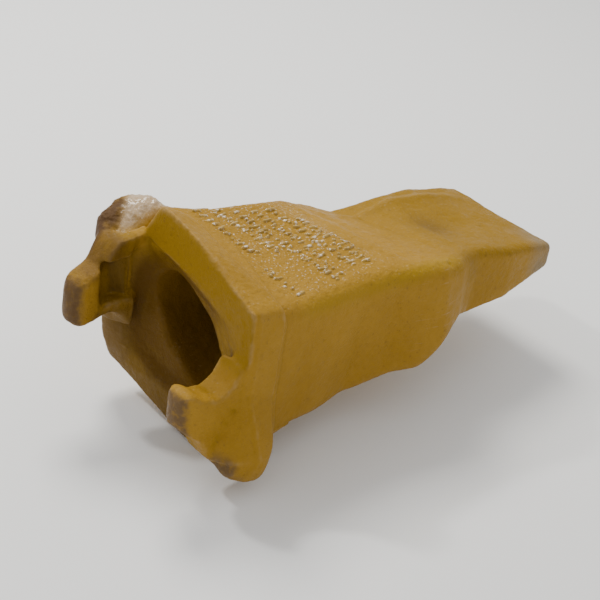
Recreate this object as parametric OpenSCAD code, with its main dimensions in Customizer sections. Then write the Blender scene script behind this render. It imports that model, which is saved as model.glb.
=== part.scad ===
// Twist-on bucket tooth: one steel casting that is pushed over an adapter nose and
// turned to lock. The origin is the centre of the socket mouth, +X points to the
// cutting edge, +Z is up. Turned half a turn about X the tooth is the same again.

/* [Length] */
// From the socket mouth to the cutting edge
reach = 302; // [290:1:315]
// Depth of the socket, up to its flat thrust face
socket_depth = 150; // [130:1:155]
// How far the side tabs stand out behind the mouth
tab_reach = 47; // [40:1:50]

/* [Collar] */
// Length of the raised collar band
collar_len = 25; // [20:1:30]
// How far the collar stands proud of the body
collar_step = 2; // [1:0.5:3]
// Half the width of the collar
collar_half = 64; // [62:0.5:66]

// Radius of the rounding on the two corner ears
ear_r = 10; // [8:0.5:11]

/* [Blade] */
// Half the width of the cutting edge
edge_half = 49; // [44:1:50]
// Half the thickness of the cutting edge
edge_thick = 10; // [6:0.5:12]
// Half the width over the two side humps
hump_half = 74; // [70:1:76]

/* [Tabs] */
// Thickness of a side tab
tab_thick = 21; // [19:1:22]
// Radius of the rounded lug at the end of a tab
lug_r = 10; // [8:0.5:10.5]
// Radius of the upright groove that holds the lock pin
groove_r = 12; // [10:0.5:13]
// How far behind the mouth the lock pin stands
pin_back = 16; // [14:1:18]
// Height at which the far groove ends
groove_floor = 7; // [6:1:10]
// Height at which the far groove is closed off below the ear
groove_top = 36; // [32:1:40]

/* [Hidden] */
disc = 0.1;
facets = 32;
body_half = collar_half - collar_step - 1;
tab_outer = collar_half - 1;
tab_round = 5;
cutter = 100;

// Each body ring is [x, near top corner, far top corner, corner radius]
body_rings = [
    [collar_len - 1, [-body_half, 45], [body_half, 58], 10],
    [48, [-body_half, 41], [59, 52], 13],
    [100, [-60, 41], [52, 49], 14],
    [125, [-61, 41], [59, 40], 12],
    [145, [-66, 40], [hump_half - 6, 29], 12],
    [165, [-69, 38], [hump_half, 20], 12],
    [184, [-66, 35], [hump_half - 6, 14], 11],
    [200, [-56, 31], [57, 21], 10],
    [215, [-52, 28], [51, 26], 9],
    [250, [-54, 21], [54, 22], 8],
    [reach - 22, [-51, 14], [51, 15], 6],
    [reach - 3, [-edge_half, edge_thick], [edge_half, edge_thick], 4],
    [reach - disc, [2 - edge_half, edge_thick - 2], [edge_half - 2, edge_thick - 2], 4]
];

// Each socket ring has the same form as a body ring
mouth_ring = [8, [-26, 21], [36, 34], 20];
flare_ring = [-0.5, [-56, 33], [44, 50], 15];
socket_rings = [
    mouth_ring,
    [socket_depth / 2, [-25, 21], [27, 25], 12],
    [socket_depth - disc, [-20, 14], [22, 15], 9]
];

// Half of the collar outline, back rim and then front edge: [x, y, z, corner radius]
collar_corners = [
    [0, -collar_half, 51, 5],
    [4, -9, 69, 12],
    [5, 36, 73, 6],
    [0, collar_half, 26, 12],
    [0, collar_half + 1, -34, 8],
    [collar_len, -collar_half, 47, 6],
    [collar_len, -16, 56, 14],
    [collar_len, 38, 63, 10],
    [collar_len, collar_half, 20, 12]
];

// Balls that make up the far ear, upper ones first: [x, y, z, r]
ear_balls = [
    [-9, 62, 41, ear_r],
    [-4, 68, 46, ear_r],
    [6, 71, 49, ear_r],
    [13, 69, 50, ear_r],
    [19, 63, 51, ear_r],
    [24, 56, 46, ear_r],
    [2, 53, 8, ear_r],
    [21, 48, 8, ear_r]
];

// Side view of the far tab, from the collar back to the lug and up to the ear
tab_outline = [
    [8, -20], [-2, -14], [-9, -2], [-18, 3], [-27, 0], [9 - tab_reach, -8],
    [4 - tab_reach, -8], [-tab_reach, -2], [-tab_reach, 18], [3 - tab_reach, 25],
    [8 - tab_reach, 28], [-28, 33], [-22, 43], [-17, 49], [8, 52]
];
tab_inner = tab_outer - tab_thick;

module disc_at(x, y, z, r) {
    translate([x, y, z]) rotate([0, 90, 0]) cylinder(h = disc, r = r, $fn = facets);
}

// The same shape again, half a turn round the long axis
module both_sides() {
    children();
    rotate([180, 0, 0]) children();
}

module ring(r) {
    both_sides() {
        disc_at(r[0], r[1][0] + r[3], r[1][1] - r[3], r[3]);
        disc_at(r[0], r[2][0] - r[3], r[2][1] - r[3], r[3]);
    }
}

module skin(rings) {
    for (i = [0 : len(rings) - 2]) {
        hull() {
            ring(rings[i]);
            ring(rings[i + 1]);
        }
    }
}

module collar() {
    hull() {
        both_sides() {
            for (p = collar_corners) {
                disc_at(p[0], p[1] - sign(p[1]) * p[3], p[2] - sign(p[2]) * p[3], p[3]);
            }
        }
    }
}

module ear() {
    hull() {
        for (b = ear_balls) {
            translate([b[0], b[1], b[2]]) sphere(r = b[3], $fn = facets);
        }
    }
}

// Seen from above, a tab ends in a rounded lug
module tab_plan() {
    hull() {
        translate([lug_r - tab_reach, tab_outer - lug_r]) circle(r = lug_r, $fn = facets);
        translate([0, tab_inner]) square([2 * tab_round, tab_thick]);
    }
}

// A rounded plate with an upright groove for the lock pin on its inner side
module tab() {
    difference() {
        intersection() {
            translate([0, tab_outer, 0]) rotate([90, 0, 0]) linear_extrude(height = tab_thick)
                offset(r = tab_round) offset(delta = -tab_round) polygon(tab_outline);
            translate([0, 0, -cutter]) linear_extrude(height = 2 * cutter) tab_plan();
        }
        translate([-pin_back, tab_inner, groove_floor])
            cylinder(h = groove_top - groove_floor, r = groove_r, $fn = facets);
    }
}

module socket() {
    hull() {
        ring(flare_ring);
        ring(mouth_ring);
    }
    skin(socket_rings);
}

module tooth_casting() {
    color("goldenrod") difference() {
        union() {
            skin(body_rings);
            collar();
            both_sides() {
                ear();
                tab();
            }
        }
        socket();
    }
}

tooth_casting();
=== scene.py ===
import math
import random
import bmesh
import bpy
import numpy as np
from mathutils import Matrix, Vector, noise


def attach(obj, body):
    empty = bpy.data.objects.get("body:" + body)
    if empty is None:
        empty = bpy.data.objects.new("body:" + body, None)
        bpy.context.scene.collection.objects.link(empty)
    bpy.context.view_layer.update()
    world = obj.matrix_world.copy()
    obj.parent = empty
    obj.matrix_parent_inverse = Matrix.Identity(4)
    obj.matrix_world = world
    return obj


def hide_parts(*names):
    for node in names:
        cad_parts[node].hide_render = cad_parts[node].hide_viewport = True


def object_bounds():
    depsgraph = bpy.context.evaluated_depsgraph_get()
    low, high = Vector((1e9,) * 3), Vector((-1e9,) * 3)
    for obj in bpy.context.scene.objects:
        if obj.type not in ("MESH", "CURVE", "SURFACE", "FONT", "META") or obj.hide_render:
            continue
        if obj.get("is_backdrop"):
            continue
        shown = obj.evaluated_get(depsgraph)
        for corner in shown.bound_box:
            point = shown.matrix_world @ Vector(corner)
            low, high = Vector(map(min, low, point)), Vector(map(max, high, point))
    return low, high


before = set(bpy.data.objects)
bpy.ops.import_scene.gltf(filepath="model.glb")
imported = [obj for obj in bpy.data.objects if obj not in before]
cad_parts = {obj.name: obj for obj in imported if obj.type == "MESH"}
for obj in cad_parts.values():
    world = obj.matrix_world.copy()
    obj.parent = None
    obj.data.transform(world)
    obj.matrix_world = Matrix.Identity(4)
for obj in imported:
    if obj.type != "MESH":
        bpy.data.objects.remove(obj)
cadLow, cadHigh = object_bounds()
print("frame loaded")

mm = 0.001
scene = bpy.context.scene
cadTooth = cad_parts["tooth_casting"]

# the camera looks down into the socket from behind the near side
cameraView = {
    "azimuth": -46.9,
    "elevation": 30.5,
    "roll": 9.3,
    "distance": 1.002,
    "target": (0.099, -0.0033, -0.0015),
    "lens": 92.3,
    "sensor": 36.0,
}


def makeCamera(look):
    az = math.radians(look["azimuth"])
    el = math.radians(look["elevation"])
    back = Vector((math.sin(az) * math.cos(el), -math.cos(az) * math.cos(el), math.sin(el)))
    data = bpy.data.cameras.new("benchCamera")
    data.lens = look["lens"]
    data.sensor_width = look["sensor"]
    camera = bpy.data.objects.new("benchCamera", data)
    scene.collection.objects.link(camera)
    camera.rotation_euler = back.to_track_quat("Z", "Y").to_euler()
    camera.rotation_euler.rotate_axis("Z", math.radians(look["roll"]))
    camera.location = Vector(look["target"]) + back * look["distance"]
    scene.camera = camera


makeCamera(cameraView)
print("camera set")


def bakeModifiers(piece):
    graph = bpy.context.evaluated_depsgraph_get()
    baked = bpy.data.meshes.new_from_object(piece.evaluated_get(graph))
    piece.modifiers.clear()
    piece.data = baked


def readVectors(mesh, name):
    flat = np.empty(len(mesh.vertices) * 3)
    mesh.vertices.foreach_get(name, flat)
    return flat.reshape(-1, 3)


def writePoints(mesh, points):
    mesh.vertices.foreach_set("co", np.ascontiguousarray(points).ravel())
    mesh.update()


# a soft step from 0 to 1 between low and high
def ease(value, low, high):
    t = np.clip((value - low) / (high - low), 0.0, 1.0)
    return t * t * (3.0 - 2.0 * t)


# a soft hill, 1 at the middle and nearly 0 two widths away
def hill(value, middle, width):
    return np.exp(-((value - middle) / width) ** 2)


# a soft plateau that rises from a to b and falls from c to d
def plateau(value, a, b, c, d):
    return ease(value, a, b) * (1 - ease(value, c, d))


# a soft round spot around a centre
def spotAt(points, centre, size):
    return np.exp(-((points - np.array(centre)) ** 2).sum(1) / size ** 2)


def noiseAt(points, scale, seed):
    shift = Vector((seed * 3.1, seed * 1.7, seed * 2.3))
    return np.array([noise.noise(Vector(p) * scale + shift) for p in points])


def addWeight(mesh, name, values):
    layer = mesh.attributes.new(name, "FLOAT", "POINT")
    layer.data.foreach_set("value", np.clip(values, 0.0, 1.0).astype(np.float32))


# the points drawn towards their neighbours again and again
def relaxed(mesh, points, passes):
    pairs = np.empty(len(mesh.edges) * 2, dtype=np.int64)
    mesh.edges.foreach_get("vertices", pairs)
    pairs = pairs.reshape(-1, 2)
    count = np.bincount(pairs.ravel(), minlength=len(points)).astype(float)
    smooth = points.copy()
    for step in range(passes):
        total = np.zeros_like(smooth)
        for axis in range(3):
            total[:, axis] = np.bincount(pairs[:, 0], smooth[pairs[:, 1], axis], len(points))
            total[:, axis] += np.bincount(pairs[:, 1], smooth[pairs[:, 0], axis], len(points))
        smooth = 0.5 * smooth + 0.5 * total / count[:, None]
    return smooth


casting = {
    "voxel": 1.2 * mm,
    "fineVoxel": 1.0 * mm,
    "blendPasses": 7,
    "skinPasses": 1,
}


# the plain casting, poured over the CAD shape with its edges rounded
def pourCasting(spec):
    blank = bpy.data.objects.new("toothSkin", cadTooth.data.copy())
    scene.collection.objects.link(blank)
    blank.data.materials.clear()
    pour = blank.modifiers.new("pour", "REMESH")
    pour.mode = "VOXEL"
    pour.voxel_size = spec["voxel"]
    soften = blank.modifiers.new("soften", "SMOOTH")
    soften.factor = 0.5
    soften.iterations = spec["blendPasses"]
    bakeModifiers(blank)
    refine = blank.modifiers.new("refine", "REMESH")
    refine.mode = "VOXEL"
    refine.voxel_size = spec["fineVoxel"]
    skin = blank.modifiers.new("skin", "SMOOTH")
    skin.factor = 0.5
    skin.iterations = spec["skinPasses"]
    bakeModifiers(blank)
    print("casting poured,", len(blank.data.vertices), "points")
    return blank


tooth = pourCasting(casting)

# work on the blade, flank, mouth and lugs, in millimetres
forming = {
    "ridgeX": (118, 137, 177, 224, 268, 292),
    "ridgeY": (40, 38, 37, 33, 32, 30),
    "ridgeHeight": (0.0, 0.4, 1.2, 2.0, 1.4, 0.0),
    "ridgeWidth": 4.5,
    "flangeDrop": 1.6,
    "scoopDepth": 4.0,
    "scoopMiddle": -4,
    "scoopWidth": 24,
    "bellySag": 4.5,
    "bellyWidth": 17.0,
    "rimSpread": 6.5,
    "rimSpots": (((-2.0, 65.0, -32.0), 15.0, 0.8), ((-2.0, 63.0, -14.0), 12.0, 0.5)),
    "lugTrim": 5.0,
    "lugCorner": (-45.0, -54.0, -29.0),
    "lugCornerSize": 11.0,
    "lugRound": 2.6,
    "lugCentre": (-37, 53),
    "humpSwell": 5.0,
    "swellCentre": (150, -70, -27),
    "swellLength": 17,
    "swellWidth": 13.0,
    "collarLip": 1.2,
    "lipTop": 43,
    "lipSlant": 0.3,
    "lipSide": 29,
    "tabDrop": 5.0,
    "funnelDepth": 3.0,
    "grooveRunout": 6.0,
    "notchDepth": 4.5,
    "notchLean": (0.82, 0.57),
    "notchCorner": (36, 73),
    "funnelStep": 1.7,
    "facetStep": 3.0,
    "earDrop": 4.0,
    "earLean": 5.0,
    "mouthPasses": 45,
}


# ridges, lowered flanges and the scooped dish, the same after half a turn
def formBlade(p, n, spec):
    x, y, z = p.T
    up = np.sign(z)
    side = y * up
    flat = ease(np.abs(n[:, 2]), 0.25, 0.7)
    crest = np.interp(x, spec["ridgeX"], spec["ridgeY"])
    height = np.interp(x, spec["ridgeX"], spec["ridgeHeight"])
    lift = height * hill(side, crest, spec["ridgeWidth"])
    lift -= spec["flangeDrop"] * ease(side, crest, crest + 10) * plateau(x, 150, 190, 262, 290)
    scoop = spec["scoopDepth"] * ease(x, 199, 212) * (1 - 0.75 * ease(x, 228, 284))
    lift -= scoop * hill(side, spec["scoopMiddle"], spec["scoopWidth"]) * (1 - ease(side, 20, 30))
    p[:, 2] += up * lift * flat


# the lower near flank sags along a line that climbs towards the tip
def formBelly(p, spec):
    x, y, z = p.T
    ridgeY = -58 - 8 * ease(x, 110, 160)
    ridgeZ = -46 + 22 * ease(x, 105, 165)
    near = np.exp(-((y - ridgeY) ** 2 + (z - ridgeZ) ** 2) / spec["bellyWidth"] ** 2)
    sag = spec["bellySag"] * plateau(x, 38, 80, 168, 186) * near
    p[:, 1] -= 0.45 * sag
    p[:, 2] -= 0.85 * sag


# the far lower rim is spread backwards and outwards
def formRim(p, spec):
    for centre, size, outward in spec["rimSpots"]:
        spread = spec["rimSpread"] * spotAt(p, centre, size)
        p[:, 0] -= spread
        p[:, 1] += outward * spread


# the underside of the far tab runs down towards the rim
def formTab(p, n, spec):
    x, y, z = p.T
    below = ease(y, 34, 40) * (1 - ease(np.abs(z), 12, 20)) * ease(-n[:, 2], 0.1, 0.6)
    p[:, 2] -= spec["tabDrop"] * below * plateau(x, -38, -28, -6, 2)


# the funnel runs deeper on its lower far side
def formFunnel(p, spec):
    x, y, z = p.T
    corner = ease(y, -4, 28) * ease(-z, -16, 16)
    inside = 1 - ease(np.maximum(np.abs(y) / 56, np.abs(z) / 46), 0.84, 1.0)
    fade = np.clip(1 - x / 34, 0, 1) * ease(x, -1.5, 0.5)
    p[:, 0] += spec["funnelDepth"] * corner * inside * fade


funnelOutline = {
    "upright": (-0.168, 0.986),
    "across": (0.99, 0.143),
    "halfHeight": 42.0,
    "halfWidth": 50.5,
}


# distance outside the leaning outline where the funnel begins, negative inside
def funnelGap(y, z):
    upY, upZ = funnelOutline["upright"]
    sideY, sideZ = funnelOutline["across"]
    above = np.abs(upY * y + upZ * z) - funnelOutline["halfHeight"]
    beside = np.abs(sideY * y + sideZ * z) - funnelOutline["halfWidth"]
    return np.maximum(above, beside)


# the back face steps down a little where the funnel begins
def formStep(p, n, spec):
    x, y, z = p.T
    back = plateau(x, -3, -1, 7, 9) * ease(-n[:, 0], 0.2, 0.6)
    within = 1 - ease(funnelGap(y, z), -1.4, 0.2)
    p[:, 0] += spec["funnelStep"] * within * back * ease(y, -30, -5)


# a notch parts the far slope of the rim from the ear behind it
def formNotch(p, spec):
    x, y, z = p.T
    up = np.sign(z)
    leanY, leanZ = spec["notchLean"]
    cornerY, cornerZ = spec["notchCorner"]
    out = (y * up - cornerY) * leanY + (np.abs(z) - cornerZ) * leanZ
    along = (y * up - cornerY) * leanZ - (np.abs(z) - cornerZ) * leanY
    band = plateau(out, -1.5, 1.0, 3, 11) * plateau(along, -4, 3, 24, 34)
    depth = spec["notchDepth"] * band * (1 - ease(x, 9, 20))
    p[:, 1] -= leanY * up * depth
    p[:, 2] -= leanZ * up * depth


# below the near tab the ear starts with a flat facet and hangs down and back
def formFacet(p, spec):
    x, y, z = p.T
    below = ease(-z, 44, 47.5) * ease(-y, 48, 56)
    p[:, 0] += spec["facetStep"] * below * np.clip((8 - x) / 16, 0, 1)
    p[:, 2] -= spec["earDrop"] * ease(-z, 44, 58) * ease(-y, 46, 60) * (1 - ease(x, 20, 36))
    p[:, 0] -= spec["earLean"] * ease(-z, 38, 58) * ease(-y, 46, 62) * (1 - ease(x, 34, 50))


# the pin groove runs out smoothly towards the mouth
def formGroove(p, spec):
    x, y, z = p.T
    side = np.sign(y)
    near = hill(x, -2, 4) * hill(y * side, 42, 7) * plateau(z * side, 2, 10, 34, 46)
    p[:, 1] += side * spec["grooveRunout"] * near


# the ends of the lugs fall away from their middles
def formLugTops(p, n, spec):
    x, y = p.T[:2]
    middleX, middleY = spec["lugCentre"]
    away = ((x - middleX) ** 2 + (np.abs(y) - middleY) ** 2) / 100
    lug = (1 - ease(x, -38, -22)) * ease(np.abs(n[:, 2]), 0.0, 0.95)
    p[:, 2] -= np.sign(n[:, 2]) * spec["lugRound"] * np.clip(away, 0, 1.6) * lug


# the near side swells where the hump meets the flank
def formSwell(p, spec):
    x, y, z = (p - np.array(spec["swellCentre"])).T
    near = np.exp(-(x / spec["swellLength"]) ** 2 - (y ** 2 + z ** 2) / spec["swellWidth"] ** 2)
    p[:, 1] -= 0.4 * spec["humpSwell"] * near
    p[:, 2] -= spec["humpSwell"] * near


# the collar stands proud of the body by a clear lip
def formCollar(p, n, spec):
    x, y, z = p.T
    face = np.abs(n[:, 2])
    top = spec["lipTop"] + spec["lipSlant"] * y * np.sign(z)
    line = face * top + (1 - face) * spec["lipSide"]
    turned = ease(np.hypot(n[:, 1], n[:, 2]), 0.5, 0.9)
    band = (1 - ease(x - line, -1.4, 1.4)) * ease(x, 2, 6) * turned
    outer = ease(np.maximum(np.abs(y) - 54, np.abs(z) - 43), -3, 1)
    p[:, 1:] += n[:, 1:] * (spec["collarLip"] * band * outer)[:, None]


# the near lug is fettled back at its lower rear corner
def formLug(p, spec):
    trim = spec["lugTrim"] * spotAt(p, spec["lugCorner"], spec["lugCornerSize"])
    p[:, 0] += trim
    p[:, 2] += trim


# the funnel and the lugs are blended round, as if ground by hand
def softenMouth(piece, passes):
    points = readVectors(piece.data, "co")
    x, y, z = (points / mm).T
    funnel = plateau(x, -3, 1, 26, 40) * (1 - ease(np.abs(y), 50, 56)) * (1 - ease(np.abs(z), 43, 48))
    lugs = 1 - ease(x, -30, -20)
    tabFoot = (1 - ease(x, -6, 0)) * ease(y, 30, 36) * (1 - ease(z, 0, 6))
    amount = np.maximum.reduce([funnel, 0.8 * lugs, tabFoot])[:, None]
    soft = relaxed(piece.data, points, passes)
    writePoints(piece.data, points + amount * (soft - points))
    print("mouth blended")


def formCasting(piece, spec):
    p = readVectors(piece.data, "co") / mm
    n = readVectors(piece.data, "normal")
    formBlade(p, n, spec)
    formBelly(p, spec)
    formRim(p, spec)
    formLug(p, spec)
    formFunnel(p, spec)
    formGroove(p, spec)
    formStep(p, n, spec)
    formNotch(p, spec)
    formFacet(p, spec)
    formLugTops(p, n, spec)
    formSwell(p, spec)
    formTab(p, n, spec)
    formCollar(p, n, spec)
    writePoints(piece.data, p * mm)
    print("blade, flank, mouth and lugs formed")


formCasting(tooth, forming)
softenMouth(tooth, forming["mouthPasses"])

# raised foundry dashes and dots on the top face, no letters or figures
markRows = {
    "starts": (
        (44, 46, -6), (47, -20, -50), (59, 44, -8), (71, 38, -46), (70, 20, 4), (83, 34, -26),
        (88, -30, -46), (95, 32, -36), (107, 16, -40), (118, -4, -30),
    ),
    "slant": 0.15,
    "pitch": 5.6,
    "high": 1.55,
    "halfWidth": 1.15,
    "seed": 41,
}


def markStrokes(spec):
    draw = random.Random(spec["seed"])
    strokes = []
    for startX, startY, endY in spec["starts"]:
        y = startY
        while y > endY:
            x = startX + (startY - y) * spec["slant"]
            length = draw.choice((0.8, 3.2, 4.4, 5.4))
            tilt = draw.uniform(-0.35, 0.35)
            dx = 0.5 * length * math.cos(tilt)
            dy = 0.5 * length * math.sin(tilt)
            strokes.append((x - dx, y - dy, x + dx, y + dy))
            if draw.random() < 0.6:
                shift = draw.choice((-2.8, 0.0, 2.8))
                gap = draw.uniform(2.4, 3.2)
                strokes.append((x + shift - 0.4, y - gap, x + shift + 0.4, y - gap))
            y -= spec["pitch"] * draw.uniform(0.8, 1.15)
    return strokes


def refineTop(piece):
    work = bmesh.new()
    work.from_mesh(piece.data)
    edges = set()
    for face in work.faces:
        c = face.calc_center_median() / mm
        if 38 < c.x < 122 and -54 < c.y < 50 and c.z > 38:
            edges.update(face.edges)
    bmesh.ops.subdivide_edges(work, edges=list(edges), cuts=2, use_grid_fill=True)
    work.to_mesh(piece.data)
    work.free()
    print("top face refined,", len(piece.data.vertices), "points")


def raiseMarks(piece, spec):
    p = readVectors(piece.data, "co") / mm
    inside = (p[:, 0] > 36) & (p[:, 0] < 124) & (p[:, 2] > 36)
    spot = p[inside]
    rise = np.zeros(len(spot))
    for ax, ay, bx, by in markStrokes(spec):
        run = np.array([bx - ax, by - ay])
        reach = (spot[:, :2] - (ax, ay)) @ run / max(run @ run, 1e-6)
        near = np.array([ax, ay]) + np.clip(reach, 0, 1)[:, None] * run
        gap = np.linalg.norm(spot[:, :2] - near, axis=1)
        rise = np.maximum(rise, 1 - ease(gap, 0.35 * spec["halfWidth"], 1.25 * spec["halfWidth"]))
    uneven = 0.72 + 0.5 * noiseAt(spot * mm, 90.0, 9)
    spot[:, 2] += rise * uneven * spec["high"]
    p[inside] = spot
    raised = np.zeros(len(p))
    raised[inside] = rise
    addWeight(piece.data, "markTop", raised)
    writePoints(piece.data, p * mm)
    print("foundry marks raised")


refineTop(tooth)
raiseMarks(tooth, markRows)

castSkin = {
    "sand": 0.13 * mm,
    "sandScale": 520.0,
    "lumps": 0.45 * mm,
    "lumpScale": 48.0,
    "earGrit": 0.5 * mm,
    "earScale": 380.0,
    "topSand": 0.22 * mm,
    "pits": (
        (27, -64, 38, 1.6), (26, -64, 27, 1.1), (27, -64, 22, 1.9), (28, -64, 14, 1.3),
        (30, -64, 4, 1.5), (26, -64, -8, 1.2), (31, -63, -20, 1.4), (12, -64, -14, 1.2),
        (-6, -63, -14, 1.6), (66, -61, 10, 1.3), (88, -60, -4, 1.1), (120, -62, 12, 1.4),
        (152, -66, 22, 1.6), (160, 5, 38, 1.5), (178, -22, 33, 1.3), (172, -62, 36, 2.2),
        (232, 44, 24, 1.6), (262, 10, 14, 1.2), (240, -30, 20, 1.3), (3, 20, 60, 1.5),
    ),
    "pitDepth": 0.75,
}


# how far each point lies on one of the rough outer ear domes
def earWeight(p):
    side = p[:, 1] * np.sign(p[:, 2])
    height = np.abs(p[:, 2])
    dome = ease(side, 50, 58) * ease(height, 44, 52) * (0.12 + 0.88 * ease(p[:, 2], 0, 10))
    return dome * (1 - ease(p[:, 0], 24, 34)) * ease(p[:, 0], -18, -10)


def roughenSkin(piece, spec):
    points = readVectors(piece.data, "co")
    normals = readVectors(piece.data, "normal")
    height = noiseAt(points, spec["lumpScale"], 1) * spec["lumps"]
    height += noiseAt(points, spec["sandScale"], 2) * spec["sand"]
    height += noiseAt(points, spec["sandScale"] * 0.4, 3) * spec["sand"] * 1.8
    ears = earWeight(points / mm)
    grit = noiseAt(points, spec["earScale"], 4) + 0.6 * noiseAt(points, spec["earScale"] * 1.9, 5)
    height += ears * grit * spec["earGrit"]
    top = ease(normals[:, 2], 0.5, 0.9) * ease(points[:, 2] / mm, 20, 36)
    height += top * grit * spec["topSand"]
    for x, y, z, size in spec["pits"]:
        gap = np.linalg.norm(points / mm - (x, y, z), axis=1)
        height -= spec["pitDepth"] * mm * np.exp(-(gap / size) ** 2)
    moved = points + normals * height[:, None]
    writePoints(piece.data, np.clip(moved, np.array(cadLow), np.array(cadHigh)))
    print("cast skin roughened")


roughenSkin(tooth, castSkin)


# how much each point bulges out, from the mean of its neighbours
def bulge(mesh, passes):
    points = readVectors(mesh, "co")
    normals = readVectors(mesh, "normal")
    return ((points - relaxed(mesh, points, passes)) * normals).sum(1) / mm


wear = {
    "edgePasses": 14,
    "tipCorner": (298, -46),
    "tipStretch": 0.8,
}


# how far each point is from the worn near corner of the cutting edge
def tipGap(p):
    cornerX, cornerY = wear["tipCorner"]
    across = (p[:, 1] - cornerY) * wear["tipStretch"]
    return np.sqrt((p[:, 0] - cornerX) ** 2 + across ** 2 + p[:, 2] ** 2)


# painted shade: the dark inside, shade in the pin grooves, and brown shade around the mouth and in the
# dish
def mouthCover(p, n):
    x, y, z = p.T
    up = np.sign(z)
    radius = np.maximum(np.hypot(y, z), 1e-6)
    inward = -(n[:, 1] * y + n[:, 2] * z) / radius
    inside = ease(inward, 0.1, 0.5) * ease(x, -2, 3) * (1 - ease(radius, 50, 58))
    floor = ease(x, 8, 14) * (1 - ease(radius, 34, 40)) * ease(-n[:, 0], 0.3, 0.8)
    depth = 0.72 - 0.24 * ease(x, 14, 40)
    hollow = ease(-funnelGap(y, z), 2, 12) * ease(0.9 * y - 0.5 * z, -6, 12) * plateau(x, -1, 2, 30, 40)
    groove = np.hypot(x + 16, np.abs(y) - 42)
    rear = (1 - ease(x, 6, 14)) * (1 - ease(n[:, 0], -0.3, 0.2)) * ease(x, -34, -26)
    lower = ease(-z, -52, -18) * ease(y, -34, 6)
    back = 0.85 * rear * lower * (1 - ease(n[:, 2], 0.5, 0.9))
    dish = 0.6 * hill(x, 215, 14) * hill(y * up, -6, 17) * ease(np.abs(n[:, 2]), 0.3, 0.6)
    return {
        # painted shade: the inside of the socket and the hollow of the funnel are darkened
        "socketShade": np.maximum(np.maximum(inside, floor) * depth, 0.65 * hollow),
        # painted shade in the pin grooves
        "pinGrooveShade": (1 - ease(groove, 12.0, 14.5)) * ease(z * np.sign(y), -2, 8),
        # painted shade: brown on the lower back face, in the dish and at the far tab end
        "paintedRearShade": np.maximum.reduce([back, dish, tabEnd(p)]),
    }


# the lower end of the far tab, beside the mouth, which takes painted shade
def tabEnd(p):
    x, y, z = p.T
    return 0.7 * plateau(x, -36, -28, -6, 4) * ease(y, 32, 38) * plateau(z, -24, -12, -2, 8)


# thin paint on the lugs and ears, grey grit with a painted highlight on the lit top of the far ear's
# dome, painted shade on its far side, the tab top and the far lug, and painted glints on top
def earCover(p, n):
    x, y, z = p.T
    lugs = ease(-x, 33, 42)
    facing = ease(-n[:, 0], 0.35, 0.85)
    ends = lugs * ease(-n[:, 0] - 0.35 * n[:, 2], 0.15, 0.7)
    facet = facing * ease(-z, 45, 49) * ease(-y, 48, 56) * (1 - ease(x, 6, 12))
    earBack = facing * ease(y * np.sign(z), 60, 66) * ease(np.abs(z), 36, 46)
    lowRim = facing * ease(y, 40, 56) * ease(-z, 10, 24) * (1 - ease(np.abs(x), 14, 20))
    # the lit side of the far ear's dome takes the painted highlight, the other side painted shade
    lit = 1 - ease(0.73 * y - 0.68 * x, 43, 50)
    domeTop = earWeight(p) * lit * ease(n[:, 2], 0.3, 0.8)
    away = ease(-0.65 * n[:, 0] + 0.5 * n[:, 1] - 0.3 * n[:, 2], 0.1, 0.6)
    earBody = ease(y, 54, 62) * ease(z, 26, 40) * (1 - ease(x, 2, 14))
    farLug = 0.5 * lugs * ease(y, 0, 10) * ease(-n[:, 0], 0.3, 0.8)
    tabTop = 0.55 * (1 - ease(x, -16, -8)) * ease(y, 36, 42) * ease(z, 22, 30)
    shaded = [0.9 * away * earBody, 0.95 * (1 - lit) * earBody, farLug, tabTop]
    topFace = ease(n[:, 2], 0.5, 0.85)
    markField = plateau(x, 30, 60, 105, 150) * ease(z, 38, 42) * ease(y, -56, -40)
    return {
        "thinPaint": np.maximum.reduce([ends, earBack, facet, 0.4 * lowRim]),
        "earGrit": 0.85 * domeTop,
        # painted highlight: grey grit on the lit top of the far ear's dome
        "glossy": 0.6 * domeTop,
        "shadeSide": np.maximum.reduce(shaded),
        # painted glints on the top face, the mark field and the lit dome top
        "sparkle": np.maximum(topFace * (0.10 + 0.55 * markField), domeTop),
    }


# thicker paint with painted shade on the back face, the fillets and the blade, and an olive band with a
# painted highlight along the near top edge
def bodyCover(p, n):
    x, y, z = p.T
    up = np.sign(z)
    rearFace = ease(-n[:, 0], 0.5, 0.9) * plateau(x, -8, -2, 12, 16)
    scoop = ease(x, 200, 214) * hill(y * up, -4, 26) * (1 - 0.6 * ease(x, 240, 290))
    root = hill(x, 206, 9) * hill(y * up, -50, 12) * ease(z * up, 4, 12)
    blade = 0.75 * ease(x, 150, 205) * ease(np.abs(n[:, 2]), 0.3, 0.7)
    return {
        # painted highlight: a lighter olive band along the near top edge
        "oliveBandAndHighlight": hill(-y * up, 60, 6) * hill(np.abs(z), 37, 6) * plateau(x, 34, 60, 176, 200),
        # painted shade: the thick paint colour darkens the back face, the dish, the blade root and the
        # blade
        "thickPaintAndShade": np.maximum.reduce([rearFace, 0.9 * scoop, 0.7 * root, blade]),
    }


# rubbed edges with a painted highlight, pooled paint with painted shade in the creases, scuffs and the
# worn corner of the tip
def wearShadeAndHighlightCover(p, edge):
    x, y, z = p.T
    humpSide = hill(x, 160, 22) * ease(-y, 56, 62) * ease(z, -30, -10)
    markField = plateau(x, 30, 45, 118, 130) * ease(z, 38, 42)
    return {
        "scuffed": np.maximum(humpSide, 0.5 * (1 - ease(tipGap(p), 20, 50))),
        "wornTip": 1 - ease(tipGap(p), 10, 32),
        # painted highlight: pale colour on the convex edges, partly rubbed paint
        "edgeRubAndHighlight": ease(edge, 0.12, 0.6) * (1 - markField) * (1 - tabEnd(p)),
        # painted shade: darker colour in concave creases, partly pooled paint
        "paintPoolAndShade": ease(-edge, 0.06, 0.5),
    }


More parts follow.
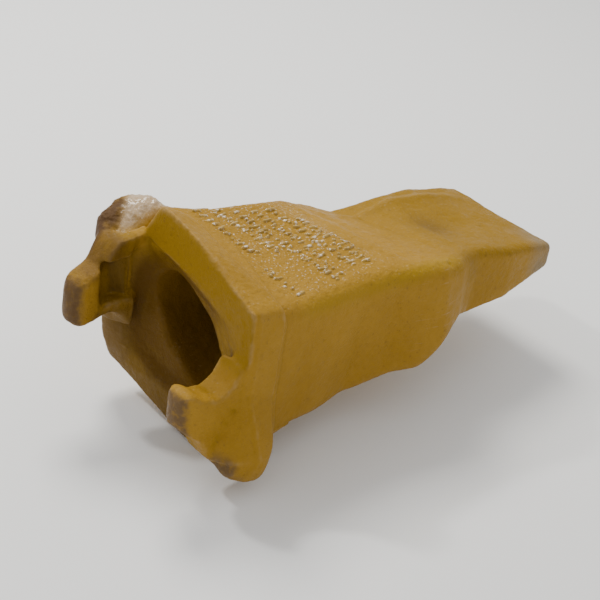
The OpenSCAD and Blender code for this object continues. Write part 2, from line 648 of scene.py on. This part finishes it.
def paintWeights(piece, spec):
    mesh = piece.data
    p = readVectors(mesh, "co") / mm
    n = readVectors(mesh, "normal")
    edge = bulge(mesh, spec["edgePasses"])
    for cover in (mouthCover(p, n), earCover(p, n), bodyCover(p, n), wearShadeAndHighlightCover(p, edge)):
        for name, values in cover.items():
            addWeight(mesh, name, values)
    print("paint weights laid")


paintWeights(tooth, wear)

paintLook = {
    "bright": (0.350, 0.192, 0.020, 1.0),
    "deep": (0.262, 0.138, 0.008, 1.0),
    # painted shade: the pool colour darkens creases, grooves, the back face and the blade
    "poolAndShade": (0.230, 0.125, 0.001, 1.0),
    # painted highlight: the lighter olive of the near top edge
    "olive": (0.330, 0.196, 0.010, 1.0),
    # painted shade: the dark colour of the socket's inside
    "inside": (0.085, 0.036, 0.001, 1.0),
    "thin": (0.135, 0.080, 0.032, 1.0),
    # painted shade: brown for the lower back face, the tab end and the dish
    "brown": (0.125, 0.068, 0.010, 1.0),
    "shade": (0.078, 0.039, 0.015, 1.0),
    # pale chalk for scuffs and rubbed edges, and a painted highlight on the edges and the far ear's
    # dome
    "chalkAndHighlight": (0.560, 0.430, 0.300, 1.0),
    # painted glints
    "glint": (0.800, 0.700, 0.560, 1.0),
    # painted highlight: the lighter tops of the raised marks
    "crest": (0.420, 0.270, 0.045, 1.0),
    "steel": (0.240, 0.175, 0.095, 1.0),
    "dirt": (0.060, 0.035, 0.014, 1.0),
    "specular": 0.08,
    "roughness": (0.34, 0.58),
    "coatRoughness": 0.09,
}

# each speckle pattern: noise scale, the two levels it is squeezed between, detail
speckles = {
    "broad": (16.0, 0.32, 0.66, 5.0),
    "mottle": (240.0, 0.35, 0.68, 5.0),
    "fine": (95.0, 0.30, 0.70, 5.0),
    "speck": (330.0, 0.60, 0.70, 5.0),
    "grain": (700.0, 0.25, 0.75, 5.0),
    # the pattern of the painted glints
    "glint": (620.0, 0.60, 0.70, 3.0),
    "crests": (300.0, 0.54, 0.64, 3.0),
    "scuffs": (60.0, 0.62, 0.72, 3.0),
}

# the fine relief: noise scale, detail, roughness, then bump strength and distance
relief = {
    "peel": (260.0, 7.0, 0.65, 0.75, 0.0010),
    "sand": (900.0, 4.0, 0.6, 0.7, 0.0005),
}


def addNode(tree, kind, **values):
    made = tree.nodes.new(kind)
    for key, value in values.items():
        if key in made.inputs:
            made.inputs[key].default_value = value
        else:
            setattr(made, key, value)
    return made


# a noise pattern squeezed between two levels
def addPatches(tree, vector, spec):
    scale, low, high, detail = spec
    pattern = addNode(tree, "ShaderNodeTexNoise", Scale=scale, Detail=detail, Roughness=0.6)
    tree.links.new(vector, pattern.inputs["Vector"])
    level = tree.nodes.new("ShaderNodeMapRange")
    level.inputs["From Min"].default_value = low
    level.inputs["From Max"].default_value = high
    tree.links.new(pattern.outputs["Fac"], level.inputs["Value"])
    return level.outputs["Result"]


def addMaths(tree, operation, first, second):
    made = tree.nodes.new("ShaderNodeMath")
    made.operation = operation
    made.use_clamp = True
    for socket, value in zip(made.inputs, (first, second)):
        if isinstance(value, float):
            socket.default_value = value
        else:
            tree.links.new(value, socket)
    return made.outputs["Value"]


def addMix(tree, amount, under, over):
    made = tree.nodes.new("ShaderNodeMixRGB")
    for name, value in (("Fac", amount), ("Color1", under), ("Color2", over)):
        if isinstance(value, (float, tuple)):
            made.inputs[name].default_value = value
        else:
            tree.links.new(value, made.inputs[name])
    return made.outputs["Color"]


def addWeightNode(tree, name):
    made = tree.nodes.new("ShaderNodeAttribute")
    made.attribute_name = name
    return made.outputs["Fac"]


# one more bump layer, laid over the normal that is passed in
def addRelief(tree, vector, spec, under=None):
    scale, detail, roughness, strength, distance = spec
    pattern = addNode(tree, "ShaderNodeTexNoise", Scale=scale, Detail=detail, Roughness=roughness)
    tree.links.new(vector, pattern.inputs["Vector"])
    bump = addNode(tree, "ShaderNodeBump", Strength=strength, Distance=distance)
    tree.links.new(pattern.outputs["Fac"], bump.inputs["Height"])
    if under is not None:
        tree.links.new(under, bump.inputs["Normal"])
    return bump.outputs["Normal"]


def castYellowPaint(look):
    paint = bpy.data.materials.new("castYellowPaint")
    paint.use_nodes = True
    tree = paint.node_tree
    link = tree.links.new
    shader = tree.nodes["Principled BSDF"]
    vector = tree.nodes.new("ShaderNodeTexCoord").outputs["Object"]
    weight = {}
    for name in (
        "socketShade", "pinGrooveShade", "paintedRearShade", "thinPaint", "earGrit", "glossy", "shadeSide",
        "sparkle", "oliveBandAndHighlight", "thickPaintAndShade", "scuffed", "wornTip", "edgeRubAndHighlight", "paintPoolAndShade", "markTop",
    ):
        weight[name] = addWeightNode(tree, name)
    stretch = addNode(tree, "ShaderNodeMapping", Rotation=(0.0, 0.5, 0.0), Scale=(1.0, 1.0, 9.0))
    link(vector, stretch.inputs["Vector"])
    pattern = {}
    for name, spec in speckles.items():
        along = stretch.outputs["Vector"] if name == "scuffs" else vector
        pattern[name] = addPatches(tree, along, spec)

    def times(first, second):
        return addMaths(tree, "MULTIPLY", first, second)

    def plus(first, second):
        return addMaths(tree, "ADD", first, second)

    # from the first coat up to the dirt: how much, and of which colour
    coats = (
        (times(pattern["fine"], 0.35), "bright"),
        (times(pattern["mottle"], 0.35), "deep"),
        (times(pattern["grain"], 0.30), "bright"),
        # painted shade: the pool colour darkens concave creases, partly pooled paint
        (times(weight["paintPoolAndShade"], 0.8), "poolAndShade"),
        # painted shade in the pin grooves
        (times(weight["pinGrooveShade"], 0.75), "poolAndShade"),
        # painted shade on the back face, the dish, the blade root and the blade, partly thicker paint
        (times(weight["thickPaintAndShade"], 0.9), "poolAndShade"),
        # painted highlight: the lighter olive band along the near top edge
        (times(weight["oliveBandAndHighlight"], 0.8), "olive"),
        # painted shade: brown on the lower back face, the tab end and the dish
        (weight["paintedRearShade"], "brown"),
        (times(weight["thinPaint"], plus(pattern["mottle"], 0.6)), "thin"),
        # painted shade: the dark inside of the socket
        (weight["socketShade"], "inside"),
        # painted highlight: pale chalk on convex edges, partly rubbed paint
        (times(weight["edgeRubAndHighlight"], times(pattern["fine"], 0.22)), "chalkAndHighlight"),
        # painted highlight: lighter tops on the raised marks
        (times(weight["markTop"], 0.7), "crest"),
        # painted glints on the raised marks, the top face and the far ear's dome
        (times(weight["markTop"], pattern["crests"]), "glint"),
        (times(pattern["glint"], plus(weight["sparkle"], weight["markTop"])), "glint"),
        # painted highlight: grey grit on the lit top of the far ear's dome
        (times(weight["earGrit"], plus(pattern["grain"], 0.25)), "chalkAndHighlight"),
        (times(weight["shadeSide"], plus(pattern["fine"], 0.5)), "shade"),
        (times(weight["wornTip"], plus(pattern["fine"], 0.3)), "steel"),
        (times(pattern["scuffs"], times(weight["scuffed"], 0.25)), "chalkAndHighlight"),
        (times(pattern["speck"], 0.30), "dirt"),
    )
    color = addMix(tree, pattern["broad"], look["deep"], look["bright"])
    for amount, name in coats:
        color = addMix(tree, amount, color, look[name])
    link(color, shader.inputs["Base Color"])

    gloss = tree.nodes.new("ShaderNodeMapRange")
    gloss.inputs["To Min"].default_value = look["roughness"][0]
    gloss.inputs["To Max"].default_value = look["roughness"][1]
    link(pattern["fine"], gloss.inputs["Value"])
    link(gloss.outputs["Result"], shader.inputs["Roughness"])
    shader.inputs["Specular IOR Level"].default_value = look["specular"]
    link(plus(weight["glossy"], weight["markTop"]), shader.inputs["Coat Weight"])
    shader.inputs["Coat Roughness"].default_value = look["coatRoughness"]

    peel = addRelief(tree, vector, relief["peel"])
    link(addRelief(tree, vector, relief["sand"], peel), shader.inputs["Normal"])
    return paint


tooth.data.materials.append(castYellowPaint(paintLook))
for face in tooth.data.polygons:
    face.use_smooth = True
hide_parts("tooth_casting")
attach(tooth, "root")
print("paint applied")

stageLook = {
    "floor": (0.86, 0.86, 0.85, 1.0),
    "world": 0.78,
    "width": 8.0,
    "roughness": 0.7,
}


def makeStage(look):
    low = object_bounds()[0]
    bpy.ops.mesh.primitive_plane_add(size=look["width"], location=(0.1, 0.0, low[2]))
    floor = bpy.context.object
    floor.name = "benchFloor"
    plain = bpy.data.materials.new("paleFloor")
    plain.use_nodes = True
    shader = plain.node_tree.nodes["Principled BSDF"]
    shader.inputs["Base Color"].default_value = look["floor"]
    shader.inputs["Roughness"].default_value = look["roughness"]
    floor.data.materials.append(plain)
    floor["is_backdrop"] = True
    world = bpy.data.worlds.new("studio")
    world.use_nodes = True
    sky = world.node_tree.nodes["Background"]
    sky.inputs["Color"].default_value = (1.0, 1.0, 1.0, 1.0)
    sky.inputs["Strength"].default_value = look["world"]
    scene.world = world


lamps = {
    "topSoftbox": {"spot": (0.35, 0.75, 1.15), "size": 0.5, "power": 16.5, "tint": (1.0, 0.98, 0.92)},
    "glint": {"spot": (-0.45, 0.83, 1.0), "size": 0.1, "power": 7.0, "tint": (1.0, 1.0, 1.0)},
    "sideFill": {"spot": (0.7, -1.1, 0.35), "size": 0.7, "power": 0.6, "tint": (1.0, 0.97, 0.95)},
}


def hangLamp(name, lamp):
    data = bpy.data.lights.new(name, "AREA")
    data.size = lamp["size"]
    data.energy = lamp["power"]
    data.color = lamp["tint"]
    made = bpy.data.objects.new(name, data)
    scene.collection.objects.link(made)
    made.location = lamp["spot"]
    aim = Vector((0.1, 0.0, 0.0)) - Vector(lamp["spot"])
    made.rotation_euler = aim.to_track_quat("-Z", "Y").to_euler()


makeStage(stageLook)
for name, lamp in lamps.items():
    hangLamp(name, lamp)
print("floor and lamps set")
